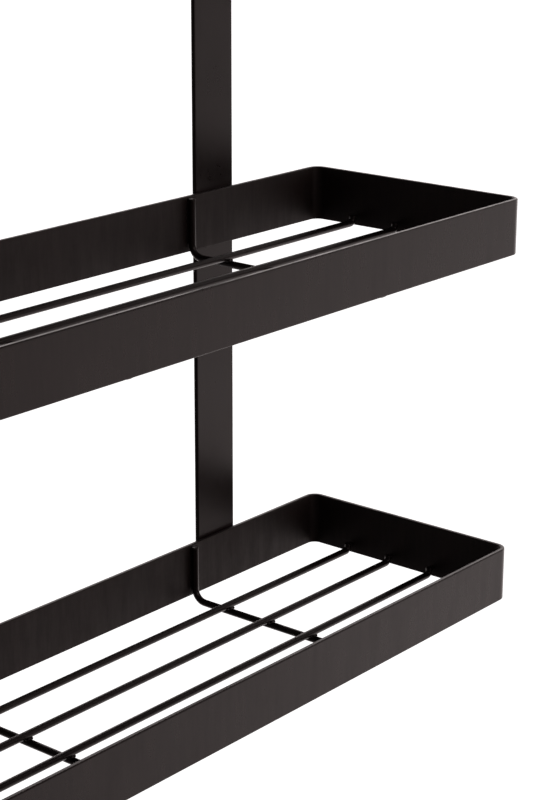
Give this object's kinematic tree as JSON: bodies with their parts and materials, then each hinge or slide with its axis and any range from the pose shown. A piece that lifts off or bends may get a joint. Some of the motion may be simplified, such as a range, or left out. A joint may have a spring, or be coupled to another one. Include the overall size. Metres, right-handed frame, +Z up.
{
  "type": "wall-hung bathroom storage rack",
  "caption": "Wall-hung black metal rack of shallow rectangular trays with wire floors on flat-bar uprights, for storage above a toilet.",
  "frame": {"origin": "on the wall face, midway between the two points the rack hangs on (the round upper ends of the keyhole slots)", "axes": "+Z up, +Y into the wall so the open side faces -Y, +X along the trays to the right of a person facing the rack"},
  "size_m": [0.472, 0.1673, 0.54],
  "materials": {
    "band_powder_coat": "satin black powder coat with a very fine texture",
    "wire_powder_coat": "satin black powder coat",
    "upright_powder_coat": "satin black powder coat with a very fine texture",
    "pad_rubber": "matt black"
  },
  "bodies": {
    "root": {"left_upright": "upright_powder_coat", "left_upright_upper_wall_pad": "pad_rubber", "left_upright_lower_wall_pad": "pad_rubber", "right_upright": "upright_powder_coat", "right_upright_upper_wall_pad": "pad_rubber", "right_upright_lower_wall_pad": "pad_rubber", "top_tray_band": "band_powder_coat", "top_tray_long_wire_1": "wire_powder_coat", "top_tray_long_wire_2": "wire_powder_coat", "top_tray_long_wire_3": "wire_powder_coat", "top_tray_long_wire_4": "wire_powder_coat", "top_tray_left_cross_wire": "wire_powder_coat", "top_tray_right_cross_wire": "wire_powder_coat", "middle_tray_band": "band_powder_coat", "middle_tray_long_wire_1": "wire_powder_coat", "middle_tray_long_wire_2": "wire_powder_coat", "middle_tray_long_wire_3": "wire_powder_coat", "middle_tray_long_wire_4": "wire_powder_coat", "middle_tray_left_cross_wire": "wire_powder_coat", "middle_tray_right_cross_wire": "wire_powder_coat", "bottom_tray_band": "band_powder_coat", "bottom_tray_long_wire_1": "wire_powder_coat", "bottom_tray_long_wire_2": "wire_powder_coat", "bottom_tray_long_wire_3": "wire_powder_coat", "bottom_tray_long_wire_4": "wire_powder_coat", "bottom_tray_left_cross_wire": "wire_powder_coat", "bottom_tray_right_cross_wire": "wire_powder_coat"}
  },
  "joints": []
}
